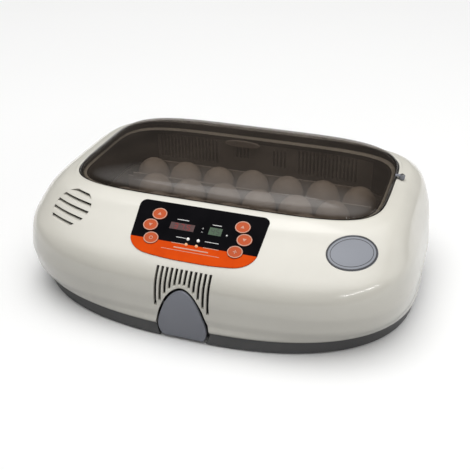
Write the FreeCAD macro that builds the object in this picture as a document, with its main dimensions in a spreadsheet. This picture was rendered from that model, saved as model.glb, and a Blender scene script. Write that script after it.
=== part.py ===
import FreeCAD, Part
import math
import os
import re

# Tabletop egg incubator: a dark base tray with a tilting egg rack, under a hinged cover that
# carries the domed window, the control panel, the fan and the heater.
# Frame: +Z up, front is -Y, X = 0 is the symmetry plane, Z = 0 is the plane the feet stand on.

doc = FreeCAD.newDocument("EggIncubator")
sheet = doc.addObject("Spreadsheet::Sheet", "sizes")

# Horizontal outlines of the body: height, half width, front, rear, squareness of the corners.
# An outline is a superellipse: 2 is an ellipse, and higher numbers are squarer.
OUTLINES = {
    "trayfoot": (2, 219, -144.5, 156, 2.45),
    "traytop": (15, 220.5, -142.3, 157.3, 2.48),
    "sill": (15.4, 222, -143.5, 158.5, 2.5),
    "lower": (32, 223, -145, 164, 3.1),
    "belt": (50, 224, -144.5, 166, 3.35),
    "waist": (66, 222, -141, 166, 3.5),
    "brow": (80, 219.5, -131, 165, 3.8),
    "deck": (94, 214, -111.1, 163, 4.1),
    "shelf": (106, 207, -90.7, 158.5, 4.45),
    "crown": (116, 194, -73.7, 149, 4.75),
    "rim": (119.5, 182, -61, 139, 4.9),
    "opening": (119.5, 172, -50, 124, 5.0),
    "glass": (116, 179, -58, 136, 4.9),
    "tub": (6.2, 176, -52, 126, 5.5),
    "skirt": (70, 176, -54, 134, 5.0),
}

SIZES = {
    # walls and clearances
    "wall": 3, "thin_wall": 2, "gap": 0.3, "bore_play": 0.05, "screw_radius": 1.5,
    # base
    "tray_floor": 4, "foot_radius": 9, "foot_height": 4, "foot_x": 140, "foot_y": 88,
    "tub_top": 66, "base_middle": 7, "post_x": 166.5, "post_width": 5, "post_depth": 18,
    "pan_half": 90, "pan_front": -47.8, "pan_rear": -30.5, "pan_low": 8.4, "pan_top": 28,
    "port_x": -45, "port_radius": 3, "port_hole": 1.6, "port_end": 172, "port_height": 9,
    # egg rack
    "egg_pitch": 45, "row_pitch": 44, "rack_middle": 45, "rack_half": 161.5, "rack_depth": 67,
    "rack_low": 30, "rack_top": 75, "rack_rim": 52, "rack_corner": 30, "cup_radius": 11,
    "notch_width": 9, "notch_depth": 5, "rack_axis": 42, "trunnion": 4, "trunnion_end": 171,
    "motor_radius": 13, "motor_length": 24, "motor_x": -201,
    # latch
    "latch_half": 26.8, "latch_top": 61.5, "latch_wide": 16, "latch_low": 4, "latch_foot": 22.5,
    "latch_play": 2.9, "latch_thick": 3, "latch_pin_y": -134.5, "latch_pin_z": 11,
    "pin_radius": 1.5, "latch_pin_half": 21,
    # hinge
    "hinge_x": 110, "hinge_y": 173, "hinge_z": 20, "knuckle": 5, "hinge_pin": 2,
    "knuckle_width": 14, "leaf_low": 6, "leaf_top": 14.8,
    # window
    "window_low": 116, "window_wall": 2.6, "dome_rise": 25, "gasket": 1.3,
    "clip_x": 185, "clip_y": 62,
    "clip_low": 119.6, "clip_arm_low": 122.2, "clip_top": 123.6,
    "clip_screw_radius": 1.2,
    # panel frame: a point on the sloping deck and its slope
    "panel_y": -92, "panel_z": 105.2, "deck_slope": 30.47,
    "panel_half": 72.4, "panel_side": 69.7, "panel_top": 26.9, "panel_split": -18.8,
    "panel_low": -38, "panel_recess": 1.6, "panel_proud": 0.4, "panel_corner": 7,
    "board_depth": 10.5, "board_thick": 1.6, "board_half": 62,
    "button_wide": 8.2, "button_high": 6.9, "button_proud": 1.2, "button_stem": 2.5,
    # round vent and oval badge on the deck
    "vent_x": -152, "vent_y": -85.8, "vent_z": 104.4, "vent_radius": 24, "vent_slot": 2.9,
    "vent_pitch": 9.6, "vent_turn": -5.5, "vent_tilt": 52,
    "badge_x": 160.6, "badge_y": -84, "badge_z": 103.8, "badge_wide": 26, "badge_high": 19.3,
    "badge_turn": 28,
    # front grille
    "grille_pitch": 5.25, "grille_width": 2.9, "grille_top": 80, "grille_low": 40, "grille_web": 5.4,
    # rear duct
    "duct_y": 124, "duct_low": 68, "duct_top": 110.1, "lip_top": 114.4,
    "duct_half": 172, "slot_width": 2.2,
    "fan_z": 90, "fan_half": 18, "fan_bore": 16, "fan_radius": 15, "fan_front": 126,
    "fan_depth": 12, "hub_radius": 7, "shaft_radius": 1.5, "fan_screw": 1.3, "fan_corner": 14,
    "heater_z": 92, "heater_y": 141, "heater_start": 38, "heater_end": 128, "heater_radius": 2.5,
    "inlet_x": -45, "inlet_z": 46, "inlet_half": 14,
}

for heading, values in OUTLINES.items():
    for suffix, value in zip(("z", "half", "front", "rear", "square"), values):
        SIZES[heading + "_" + suffix] = value
for row, (alias, value) in enumerate(SIZES.items(), 1):
    sheet.set("A%d" % row, alias)
    sheet.set("B%d" % row, str(value))
    sheet.setAlias("B%d" % row, alias)
doc.recompute()
S = {alias: float(sheet.get(alias)) for alias in SIZES}
SLOPE = math.radians(S["deck_slope"])


# ---------------------------------------------------------------- helpers

def linked(text):
    """An expression in which every alias points at the sheet."""
    return re.sub(r"[a-z]\w*", lambda m: "sizes." + m[0] if m[0] in SIZES else m[0], str(text))


def bind(item, **properties):
    for name, text in properties.items():
        item.setExpression(name.replace("__", "."), linked(text))
    return item


def place(item, x=0, y=0, z=0, axis=None, angle=None):
    if axis:
        item.Placement.Rotation = FreeCAD.Rotation(FreeCAD.Vector(*axis), 1)
        bind(item, Placement__Rotation__Angle=angle)
    return bind(item, Placement__Base__x=x, Placement__Base__y=y, Placement__Base__z=z)


def block(name, x, y, z, length, width, height):
    item = bind(doc.addObject("Part::Box", name), Length=length, Width=width, Height=height)
    return place(item, x, y, z)


def rod(name, x, y, z, radius, length, axis=None, angle=90):
    item = bind(doc.addObject("Part::Cylinder", name), Radius=radius, Height=length)
    return place(item, x, y, z, axis, angle)


ALONG_X = (0, 1, 0)
ALONG_REAR = (-1, 0, 0)


def join(name, pieces):
    item = doc.addObject("Part::MultiFuse", name)
    item.Shapes = pieces
    item.Refine = True
    return item


def cut(name, base, *tools):
    item = doc.addObject("Part::Cut", name)
    item.Base = base
    item.Tool = tools[0] if len(tools) == 1 else join(name + "_tools", list(tools))
    return item


def common(name, *pieces):
    item = doc.addObject("Part::MultiCommon", name)
    item.Shapes = list(pieces)
    return item


def gather(name, pieces):
    """Several separate solids of one kind, kept in one node."""
    item = doc.addObject("Part::Compound", name)
    item.Links = pieces
    return item


def feature(name, shape):
    item = doc.addObject("Part::Feature", name)
    item.Shape = shape
    return item


def outline_points(half, front, rear, square, height, count=56):
    middle = (front + rear) / 2
    depth = (rear - front) / 2
    points = []
    for step in range(count):
        turn = 2 * math.pi * step / count
        along, across = math.cos(turn), math.sin(turn)
        reach = (abs(along / half) ** square + abs(across / depth) ** square) ** (-1 / square)
        points.append(FreeCAD.Vector(reach * along, middle + reach * across, height))
    return points


def ring(points):
    curve = Part.BSplineCurve()
    curve.interpolate(points, PeriodicFlag=True)
    return Part.Wire(curve.toShape())


def section(heading, inset=0, drop=0, name=None, height=None, front_inset=None, rear_inset=None):
    """One horizontal outline of the body as a wire object."""
    front_inset = inset if front_inset is None else front_inset
    rear_inset = inset if rear_inset is None else rear_inset
    points = outline_points(
        S[heading + "_half"] - inset,
        S[heading + "_front"] + front_inset,
        S[heading + "_rear"] - rear_inset,
        S[heading + "_square"],
        (S[heading + "_z"] if height is None else height) - drop,
    )
    return feature((name or "outline") + "_" + heading, ring(points))


def loft(name, sections, ruled=False):
    item = doc.addObject("Part::Loft", name)
    item.Sections = sections
    item.Solid = True
    item.Ruled = ruled
    item.MaxDegree = 3
    return item


def prism(name, wire, height, direction=(0, 0, 1)):
    item = doc.addObject("Part::Extrusion", name)
    item.Base = wire
    item.DirMode = "Custom"
    item.Dir = FreeCAD.Vector(*direction)
    item.Solid = True
    return bind(item, LengthFwd=height)


def outline_prism(name, heading, low, high, inset=0):
    return prism(name, section(heading, inset, name=name, height=low), high - low)


def outline_ring(name, heading, low, high, outer, inner):
    return cut(name, outline_prism(name + "_out", heading, low, high, outer),
               outline_prism(name + "_in", heading, low - 1, high + 1, inner))


def deck_point(across, up, out):
    """A point in the deck frame: across the deck, up its slope and out along its normal."""
    return FreeCAD.Vector(
        across,
        S["panel_y"] + up * math.cos(SLOPE) - out * math.sin(SLOPE),
        S["panel_z"] + up * math.sin(SLOPE) + out * math.cos(SLOPE),
    )


def on_deck(item, across=0, up=0, out=0):
    """Stand an item on the deck, with its own Z along the deck's normal."""
    point = deck_point(across, up, out)
    item.Placement = FreeCAD.Placement(point, FreeCAD.Rotation(FreeCAD.Vector(1, 0, 0), 1))
    bind(item, Placement__Rotation__Angle="deck_slope")
    return item


def deck_block(name, across, up, out, length, width, height):
    """A box standing on the deck, given by its middle across and up, and its lowest level."""
    item = bind(doc.addObject("Part::Box", name), Length=length, Width=width, Height=height)
    return on_deck(item, across - length / 2, up - width / 2, out)


def deck_rod(name, across, up, out, radius, length):
    item = bind(doc.addObject("Part::Cylinder", name), Radius=radius, Height=length)
    return on_deck(item, across, up, out)


def deck_oval(name, across, up, out, wide, high, length):
    edge = bind(doc.addObject("Part::Ellipse", name + "_edge"), MajorRadius=wide, MinorRadius=high)
    on_deck(edge, across, up, out)
    return prism(name, edge, length, (0, -math.sin(SLOPE), math.cos(SLOPE)))


nodes = {}


def node(name, item):
    item.Label = name
    nodes[name] = item
    return item


# ---------------------------------------------------------------- body solids that shape the cover

BODY = ("sill", "lower", "belt", "waist", "brow", "deck", "shelf", "crown", "rim")
OUTLINE_PARTS = ("z", "half", "front", "rear", "square")


def smooth_values(stations, values, where):
    """A smooth curve through the values that never overshoots them (monotone cubic)."""
    spans = [b - a for a, b in zip(stations, stations[1:])]
    slopes = [(b - a) / span for a, b, span in zip(values, values[1:], spans)]
    tangents = [slopes[0]]
    for before, after in zip(slopes, slopes[1:]):
        tangents.append(2 * before * after / (before + after) if before * after > 0 else 0)
    tangents.append(slopes[-1])
    index = max(i for i in range(len(spans)) if i == 0 or stations[i] <= where)
    span = spans[index]
    share = (where - stations[index]) / span
    rest = 1 - share
    return (values[index] * rest ** 2 * (1 + 2 * share) + values[index + 1] * share ** 2 * (3 - 2 * share)
            + span * share * rest * (tangents[index] * rest - tangents[index + 1] * share))


def body_outline(share):
    """Outline values at a share of the way from the sill up the front and over the deck to the rim."""
    columns = [[S[heading + "_" + part] for heading in BODY] for part in OUTLINE_PARTS]
    stations = [0]
    for index in range(1, len(BODY)):
        rise = columns[0][index] - columns[0][index - 1]
        back = columns[2][index] - columns[2][index - 1]
        stations.append(stations[-1] + math.hypot(rise, back))
    where = share * stations[-1]
    return [smooth_values(stations, column, where) for column in columns]


def body_loft(name, inset, drop_start, drop, end_share, count, lift=0):
    """The body's shape, inset all round; the drop grows to its full value over the deck."""
    rings = []
    for index in range(count):
        height, half, front, rear, square = body_outline(end_share * index / (count - 1))
        over = min(1, max(0, (height - drop_start) / 30))
        height -= drop * over * over * (3 - 2 * over)
        if index == 0:
            height -= lift
        points = outline_points(half - inset, front + inset, rear - inset, square, height)
        rings.append(feature("%s_ring%d" % (name, index), ring(points)))
    return loft(name, rings)


wall = S["wall"]
# The inside stops short of the rim, so its flat top is the ceiling around the opening.
ROOF_SHARE = 0.9
roof = body_outline(ROOF_SHARE)[0] - wall
outer_body = body_loft("outer_body", 0, 60, 0, 1, 20)
inner_body = body_loft("inner_body", wall, 60, wall, ROOF_SHARE, 17, 1.5)
# A core just under the surface gives flush plates their curved inner face.
skin_core = body_loft("skin_core", 1.5, 60, 1.5, 0.97, 19)
# The tray's outside also trims what is fixed to its wall.
tray_outside = loft("tray_outside", [section("trayfoot", name="tray"), section("traytop", name="tray")])


# ---------------------------------------------------------------- base tray

def latch_wire(name, grow, depth=-160):
    """The arch seen from the front: a foot, two bulging sides and a round apex."""
    half = S["latch_half"] + grow
    top = S["latch_top"] + grow
    wide = S["latch_wide"]
    low = S["latch_low"] - grow
    foot = S["latch_foot"] + grow
    rise = top - wide
    shares = ((1, 0), (0.93, 0.25), (0.73, 0.58), (0.47, 0.84))
    side = [(across * half, wide + up * rise) for across, up in shares]
    arch = [(foot, low)] + side + [(0, top)] + [(-x, z) for x, z in reversed(side)] + [(-foot, low)]
    points = [FreeCAD.Vector(x, depth, z) for x, z in arch]
    curve = Part.BSplineCurve()
    curve.interpolate(points)
    return feature(name, Part.Wire([curve.toShape(), Part.makeLine(points[-1], points[0])]))


LIP_LOW = 12
LIP_TOP = 23
LIP_INSET = 3.6


def base_tray():
    floor = S["trayfoot_z"] + S["tray_floor"]
    inside = loft("tray_inside", [
        section("trayfoot", wall, 0, "cavity", height=floor),
        section("traytop", wall, -1, "cavity"),
    ])
    pan = cut("tray_pan", tray_outside, inside)
    lip_ring = outline_ring("tray_lip_ring", "sill", LIP_LOW, LIP_TOP, LIP_INSET, LIP_INSET + 3.2)
    # The lip stops short of the rear wall, which swings inwards as the cover opens.
    lip = cut("tray_lip", lip_ring, block("lip_rear_gap", -230, 120, "traytop_z", 460, 60, 20))
    whole = join("tray_whole", [pan, lip])
    notch = prism("tray_notch", latch_wire("tray_notch_edge", S["latch_play"], -155), 23.5, (0, 1, 0))
    foot = "(latch_foot + latch_play)"
    slot = block("tray_latch_slot", "-" + foot, -155, -1, "2*" + foot, 23.5, 8)
    sockets = [
        rod("foot_socket%d" % number, x, y, 1, "foot_radius + 0.1", "foot_height - 1")
        for number, (x, y) in enumerate(foot_places())
    ]
    port = rod("tray_port_hole", "port_x", 140, "port_height", "port_radius + 0.1", 30, ALONG_REAR)
    screws = [
        rod("tray_screw_hole%d" % number, x, y, 0, "screw_radius + 0.1", 20)
        for number, (x, y) in enumerate(post_screws())
    ]
    return cut("base_tray", whole, notch, slot, port, *(sockets + screws))


def foot_places():
    """A foot near each corner, and one under the middle of the tray."""
    depths = ("base_middle - foot_y", "base_middle + foot_y")
    return [(x, y) for x in ("-foot_x", "foot_x") for y in depths] + [(0, 0)]


def post_screws():
    return [(x, "rack_middle + " + y) for x in ("-post_x", "post_x") for y in ("(-6)", "6")]


def rubber_feet():
    return gather("rubber_feet", [
        rod("foot%d" % number, x, y, 0, "foot_radius", "foot_height - 0.05")
        for number, (x, y) in enumerate(foot_places())
    ])


def base_screws():
    screws = []
    for number, (x, y) in enumerate(post_screws()):
        shank = rod("post_screw_shank%d" % number, x, y, 2.5, "screw_radius", 13.5)
        head = rod("post_screw_head%d" % number, x, y, 0.6, 2.8, 1.35)
        neck = rod("post_screw_neck%d" % number, x, y, 1.5, "screw_radius", 2)
        screws.append(join("post_screw%d" % number, [shank, head, neck]))
    return gather("base_screws", screws)


# ---------------------------------------------------------------- egg chamber and rack

def chamber_liner():
    floor = S["tub_z"]
    tub = cut("tub_shell", outline_prism("tub_outside", "tub", floor, S["tub_top"]),
              outline_prism("tub_inside", "tub", floor + S["thin_wall"], S["tub_top"] + 1, S["thin_wall"]))
    shaft_hole = rod("tub_shaft_hole", -190, "rack_middle", "rack_axis", "trunnion + 2", 30, ALONG_X)
    holes = [
        rod("tub_screw_hole%d" % number, x, y, 0, "screw_radius + 0.1", 20)
        for number, (x, y) in enumerate(post_screws())
    ]
    return cut("chamber_liner", tub, shaft_hole, *holes)


def rack_bearings():
    posts = []
    for side, sign in (("left", "-1"), ("right", "1")):
        post = block("post_" + side, sign + "*post_x - post_width/2", "rack_middle - post_depth/2",
                     "tub_z + thin_wall", "post_width", "post_depth", "rack_axis + 9 - tub_z - thin_wall")
        bore = rod("post_bore_" + side, sign + "*post_x - post_width", "rack_middle", "rack_axis",
                   "trunnion + bore_play", "2*post_width", ALONG_X)
        holes = [
            rod("post_hole_%s%d" % (side, number), sign + "*post_x", "rack_middle + " + y, 7,
                "screw_radius", 9.1)
            for number, y in enumerate(("(-6)", "6"))
        ]
        posts.append(cut("bearing_" + side, post, bore, *holes))
    return gather("rack_bearings", posts)


def rack_wire(name, inset, height):
    """A rectangle with round corners around the whole rack."""
    half = S["rack_half"] - inset
    depth = S["rack_depth"] - inset
    corner = S["rack_corner"] - inset
    middle = S["rack_middle"]
    straight = corner * math.sqrt(0.5)
    edges = []
    for sx, sy in ((1, 1), (-1, 1), (-1, -1), (1, -1)):
        centre = FreeCAD.Vector(sx * (half - corner), middle + sy * (depth - corner), height)
        across = centre + FreeCAD.Vector(sx * corner, 0, 0)
        deep = centre + FreeCAD.Vector(0, sy * corner, 0)
        bend = centre + FreeCAD.Vector(sx * straight, sy * straight, 0)
        ends = (across, bend, deep) if sx * sy > 0 else (deep, bend, across)
        edges.append(ends)
    parts = []
    for index, (start, bend, end) in enumerate(edges):
        parts.append(Part.Arc(start, bend, end).toShape())
        parts.append(Part.makeLine(end, edges[(index + 1) % 4][0]))
    return feature(name, Part.Wire(parts))


def egg_places():
    """Three staggered rows of eggs: seven, six, seven."""
    places = []
    for row, count in ((-1, 7), (0, 6), (1, 7)):
        for index in range(count):
            x = (index - (count - 1) / 2) * S["egg_pitch"]
            places.append((x, S["rack_middle"] + row * S["row_pitch"]))
    return places


def egg_rack():
    plate = prism("rack_plate", rack_wire("rack_plate_wire", 0, S["rack_low"]), 2)
    rim_outside = prism("rack_rim_out", rack_wire("rack_rim_wire", 0, S["rack_low"]), "rack_rim - rack_low")
    rim_inside = prism("rack_rim_in", rack_wire("rack_rim_inner", 2, S["rack_low"] - 1), 60)
    rim = cut("rack_rim_wall", rim_outside, rim_inside)
    pieces = [plate, rim]
    reach = "2*(rack_half - rack_corner)"
    for index, offset in enumerate(("-rack_depth", "-row_pitch/2 - 1", "row_pitch/2 - 1", "rack_depth - 2")):
        long_rail = index in (1, 2)
        start = "-rack_half + 1" if long_rail else "-rack_half + rack_corner"
        length = "2*rack_half - 2" if long_rail else reach
        pieces.append(block("rack_rail%d" % index, start, "rack_middle + " + offset, "rack_low",
                            length, 2, "rack_top - rack_low"))
    for row, count in ((-1, 6), (0, 7), (1, 6)):
        for index in range(count):
            x = (index - (count - 1) / 2) * S["egg_pitch"]
            pieces.append(block("rack_rib%d_%d" % (row + 1, index), x - 0.8,
                                "rack_middle - row_pitch/2 + %d*row_pitch" % row,
                                "rack_low", 1.6, "row_pitch", 18))
    trunnions = [
        rod("rack_trunnion_right", "rack_half - 1", "rack_middle", "rack_axis", "trunnion",
            "trunnion_end - rack_half + 1", ALONG_X),
    ]
    frame = join("rack_frame", pieces + trunnions)
    cups = [
        rod("rack_cup%d" % number, x, y, "rack_low - 1", "cup_radius", 4)
        for number, (x, y) in enumerate(egg_places())
    ]
    notches = []
    for index in range(7):
        x = (index - 3) * S["egg_pitch"]
        notches.append(block("rack_notch_edge%d" % index, x - S["notch_width"] / 2, -40,
                             "rack_top - notch_depth", "notch_width", 30, 20))
        notches.append(block("rack_notch_rear%d" % index, x - S["notch_width"] / 2, 100,
                             "rack_top - notch_depth", "notch_width", 30, 20))
    for index in range(8):
        x = (index - 3.5) * S["egg_pitch"]
        notches.append(block("rack_notch_inner%d" % index, x - S["notch_width"] / 2, 10,
                             "rack_top - notch_depth", "notch_width", 70, 20))
    socket = rod("rack_socket", "-rack_half - 1", "rack_middle", "rack_axis", "trunnion", 4, ALONG_X)
    return cut("egg_rack", frame, socket, *(cups + notches))


def drive_shaft():
    shaft = rod("shaft_bar", "-rack_half - 21", "rack_middle", "rack_axis", "trunnion - 0.02", 24, ALONG_X)
    collar = rod("shaft_collar", "-rack_half + 2.1", "rack_middle", "rack_axis", "trunnion + 3", 2.4, ALONG_X)
    return join("drive_shaft", [shaft, collar])


def turner_motor():
    body = rod("motor_can", "motor_x", "rack_middle", "rack_axis", "motor_radius", "motor_length", ALONG_X)
    gearbox = rod("motor_gearbox", "motor_x + motor_length - 8", "rack_middle", "rack_axis",
                  "motor_radius + 1.5", 8, ALONG_X)
    whole = join("motor_whole", [body, gearbox])
    bore = rod("motor_bore", "motor_x + motor_length - 6", "rack_middle", "rack_axis",
               "trunnion - 0.02 + bore_play", 20, ALONG_X)
    return cut("turner_motor", whole, bore)


def motor_bracket():
    floor = "trayfoot_z + tray_floor"
    post = block("bracket_post", "motor_x + 5", "rack_middle - 18", floor, 8, 36,
                 "rack_axis + 8 - trayfoot_z - tray_floor")
    seat = rod("bracket_seat", "motor_x - 1", "rack_middle", "rack_axis", "motor_radius + bore_play", 40,
               ALONG_X)
    return cut("motor_bracket", post, seat)


def water_pan():
    outside = block("pan_outside", "-pan_half", "pan_front", "pan_low", "2*pan_half", "pan_rear - pan_front",
                    "pan_top - pan_low")
    inside = block("pan_inside", "-pan_half + 1.5", "pan_front + 1.5", "pan_low + 1.5", "2*pan_half - 3",
                   "pan_rear - pan_front - 3", 60)
    return cut("water_pan", outside, inside)


def water_port():
    tube = rod("port_tube", "port_x", "port_end - 26", "port_height", "port_radius", 26, ALONG_REAR)
    disc = rod("port_disc", "port_x", 150, "port_height", "port_radius + 2.5", 6.5, ALONG_REAR)
    flange = cut("port_flange", disc, tray_outside)
    hole = rod("port_hole_tool", "port_x", 100, "port_height", "port_hole", 100, ALONG_REAR)
    return cut("water_port", join("port_whole", [tube, flange]), hole)


# ---------------------------------------------------------------- latch

def latch():
    arch = prism("latch_arch", latch_wire("latch_edge", 0), 40, (0, 1, 0))
    profile = ((0, -144.8), (15.4, -145.5), (32, -146.5), (50, -145.8), (66, -142))
    front = [FreeCAD.Vector(-40, y, z) for z, y in profile]
    back = [point + FreeCAD.Vector(0, S["latch_thick"], 0) for point in front]
    edges = []
    for points in (front, back):
        curve = Part.BSplineCurve()
        curve.interpolate(points)
        edges.append(curve.toShape())
    edges.append(Part.makeLine(front[0], back[0]))
    edges.append(Part.makeLine(front[-1], back[-1]))
    slab = prism("latch_slab", feature("latch_side", Part.Wire(Part.sortEdges(edges)[0])), 80, (1, 0, 0))
    plate = common("latch_plate", arch, slab)
    arms = []
    for side, x in (("left", "-20"), ("right", "16.5")):
        bar = block("latch_bar_" + side, x, -143.5, "latch_pin_z - 4", 3.5, "latch_pin_y + 143.5", 8)
        eye = rod("latch_eye_" + side, x, "latch_pin_y", "latch_pin_z", 4, 3.5, ALONG_X)
        arms.extend([bar, eye])
    hook = block("latch_hook", -9, -143.5, 45, 18, 5.2, 3)
    bore = rod("latch_bore", -40, "latch_pin_y", "latch_pin_z", "pin_radius + bore_play", 80, ALONG_X)
    return cut("latch", join("latch_whole", [plate, hook] + arms), bore)


def latch_bracket():
    floor = "trayfoot_z + tray_floor"
    pieces = [block("bracket_foot", -16, "latch_pin_y + 3.1", floor, 32, 8, 2.5)]
    for side, x in (("left", -14.5), ("right", 11)):
        pieces.append(block("bracket_ear_" + side, x, "latch_pin_y + 1", floor + " + 1", 3.5, 9.5, 7))
        pieces.append(rod("bracket_eye_" + side, x, "latch_pin_y", "latch_pin_z", 3.5, 3.5, ALONG_X))
    bore = rod("bracket_bore", -40, "latch_pin_y", "latch_pin_z", "pin_radius", 80, ALONG_X)
    return cut("latch_bracket", join("latch_bracket_whole", pieces), bore)


def latch_pin():
    return rod("latch_pin", "-latch_pin_half", "latch_pin_y", "latch_pin_z", "pin_radius",
               "2*latch_pin_half", ALONG_X)


def latch_spring():
    """A torsion spring wound around the pin between the latch's arms."""
    pitch, turns, coil, wire = 1.6, 6, 2.6, 0.5
    helix = Part.makeHelix(pitch, pitch * turns, coil)
    profile = Part.Wire(Part.makeCircle(wire, FreeCAD.Vector(coil, 0, 0), FreeCAD.Vector(0, 1, 0)))
    item = feature("latch_spring", Part.Wire(helix).makePipeShell([profile], True, True))
    item.Placement = FreeCAD.Placement(
        FreeCAD.Vector(-pitch * turns / 2, S["latch_pin_y"], S["latch_pin_z"]),
        FreeCAD.Rotation(FreeCAD.Vector(0, 1, 0), 90))
    return item


def latch_strike():
    """A bar across the arch, with a pad at each end on the inside of the cover's wall."""
    reach = "latch_half + 9"
    pieces = [block("strike_bar", "-(%s)" % reach, -140.7, 40, "2*(%s)" % reach, 3, 4)]
    for side, x in (("left", "-(%s)" % reach), ("right", reach + " - 5")):
        pieces.append(block("strike_pad_" + side, x, -150, 40, 5, 10, 4))
    return common("latch_strike", join("strike_whole", pieces), inner_body)


# ---------------------------------------------------------------- hinge

def hinge_base_leaves():
    leaves = []
    lip_zone = outline_prism("lip_zone", "sill", LIP_LOW, LIP_TOP, LIP_INSET)
    tray_zone = join("tray_zone", [tray_outside, lip_zone])
    for side, sign in (("left", -1), ("right", 1)):
        start = "%d*hinge_x - knuckle_width/2" % sign
        arm = block("base_arm_" + side, start, 140, "leaf_low", "knuckle_width", "hinge_y - 138",
                    "leaf_top - leaf_low")
        post = block("base_post_" + side, start, "hinge_y - knuckle", "leaf_low", "knuckle_width",
                     "2*knuckle", "hinge_z - leaf_low")
        eye = rod("base_eye_" + side, start, "hinge_y", "hinge_z", "knuckle", "knuckle_width", ALONG_X)
        bore = rod("base_bore_" + side, "%d*hinge_x - 30" % sign, "hinge_y", "hinge_z", "hinge_pin", 60,
                   ALONG_X)
        whole = join("base_leaf_whole_" + side, [arm, post, eye])
        leaves.append(cut("base_leaf_" + side, whole, bore, tray_zone))
    return gather("hinge_base_leaves", leaves)


def hinge_cover_leaves():
    leaves = []
    for side, sign in (("left", -1), ("right", 1)):
        for hand, offset in (("inner", -1), ("outer", 1)):
            name = "cover_%s_%s" % (side, hand)
            start = "%d*hinge_x + %d*(knuckle_width + gap) - knuckle_width/2" % (sign, offset)
            eye = rod(name + "_eye", start, "hinge_y", "hinge_z", "knuckle", "knuckle_width", ALONG_X)
            arm = block(name + "_arm", start, 140, "hinge_z", "knuckle_width", "hinge_y - 140", "knuckle")
            bore = rod(name + "_bore", "%d*hinge_x - 40" % sign, "hinge_y", "hinge_z",
                       "hinge_pin + bore_play", 80, ALONG_X)
            leaves.append(cut(name, join(name + "_whole", [eye, arm]), bore, outer_body))
    return gather("hinge_cover_leaves", leaves)


def hinge_pins():
    return gather("hinge_pins", [
        rod("hinge_pin_" + side, "%d*hinge_x - 1.5*knuckle_width - gap" % sign, "hinge_y", "hinge_z",
            "hinge_pin", "3*knuckle_width + 2*gap", ALONG_X)
        for side, sign in (("left", -1), ("right", 1))
    ])


# ---------------------------------------------------------------- cover shell

def panel_wire(name, grow, out):
    """The panel's edge in the deck frame: a straight top, nearly straight sides and a bowed bottom."""
    half = S["panel_half"] + grow
    top = S["panel_top"] + grow
    corner = S["panel_corner"]
    side = S["panel_side"] + grow
    split = S["panel_split"]
    low = S["panel_low"] - grow
    bend = 0.3 * corner
    shares = ((0.925, 0.735), (0.79, 0.89), (0.6, 0.955), (0.29, 0.995), (0, 1))
    bowed = [(side, split)] + [(across * side, down * low) for across, down in shares]
    bowed += [(-x, y) for x, y in reversed(bowed[:-1])]

    def on_panel(x, y):
        return deck_point(x, y, out)

    curve = Part.BSplineCurve()
    curve.interpolate([on_panel(x, y) for x, y in bowed])
    edges = [curve.toShape()]
    for sign in (-1, 1):
        edges.append(Part.makeLine(on_panel(sign * side, split), on_panel(sign * half, top - corner)))
        edges.append(Part.Arc(on_panel(sign * half, top - corner), on_panel(sign * (half - bend), top - bend),
                              on_panel(sign * (half - corner), top)).toShape())
    edges.append(Part.makeLine(on_panel(corner - half, top), on_panel(half - corner, top)))
    return feature(name, Part.Wire(Part.sortEdges(edges)[0]))


DECK_NORMAL = (0, -math.sin(SLOPE), math.cos(SLOPE))
BUTTONS = [(-46.4, 11.3), (-52.2, -3), (-46.4, -18), (46.4, 11.3), (52.2, -3), (46.4, -18)]
LAMPS = [(-6.5, -12.5), (4.8, -12.5), (-6.5, -19), (4.8, -19)]
DISPLAYS = {"temperature_display": (-17.6, 0.8, 27, 8.2), "humidity_display": (19.2, 1.4, 14, 8.8)}
BOARD_POSTS = [(x, y) for x in (-58, 58) for y in (-26, 18)]


def local_frame(x, y, z):
    """Placement on the body's surface near a point, with its own Z along the surface normal."""
    surface = outer_body.Shape.Shells[0]
    touch = surface.distToShape(Part.Vertex(FreeCAD.Vector(x, y, z)))[1][0][0]
    face = min(surface.Faces, key=lambda f: f.distToShape(Part.Vertex(touch))[0])
    normal = face.normalAt(*face.Surface.parameter(touch))
    if normal.z < 0:
        normal = normal.negative()
    across = FreeCAD.Vector(0, 0, 1).cross(normal).normalize()
    return FreeCAD.Placement(touch, FreeCAD.Rotation(across, normal.cross(across), normal, "ZXY"))


def vent_slots():
    """Five slots that slant through the wall, ended by a circle."""
    frame = local_frame(S["vent_x"], S["vent_y"], S["vent_z"])
    turn = FreeCAD.Placement(FreeCAD.Vector(), FreeCAD.Rotation(FreeCAD.Vector(0, 0, 1), S["vent_turn"]))
    tilt = FreeCAD.Rotation(FreeCAD.Vector(1, 0, 0), S["vent_tilt"])
    radius = S["vent_radius"]
    circle = bind(doc.addObject("Part::Cylinder", "vent_circle"), Radius="vent_radius", Height=24)
    circle.Placement = frame.multiply(FreeCAD.Placement(FreeCAD.Vector(0, 0, -14), FreeCAD.Rotation()))
    slots = []
    for index in range(5):
        slot = bind(doc.addObject("Part::Box", "vent_slot%d" % index), Length=2 * radius, Width="vent_slot",
                    Height=24)
        middle = FreeCAD.Placement(FreeCAD.Vector(0, (index - 2) * S["vent_pitch"], 0), tilt)
        centred = FreeCAD.Placement(FreeCAD.Vector(-radius, -S["vent_slot"] / 2, -14), FreeCAD.Rotation())
        slot.Placement = frame.multiply(turn).multiply(middle).multiply(centred)
        slots.append(common("vent_cut%d" % index, circle, slot))
    return slots


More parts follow.
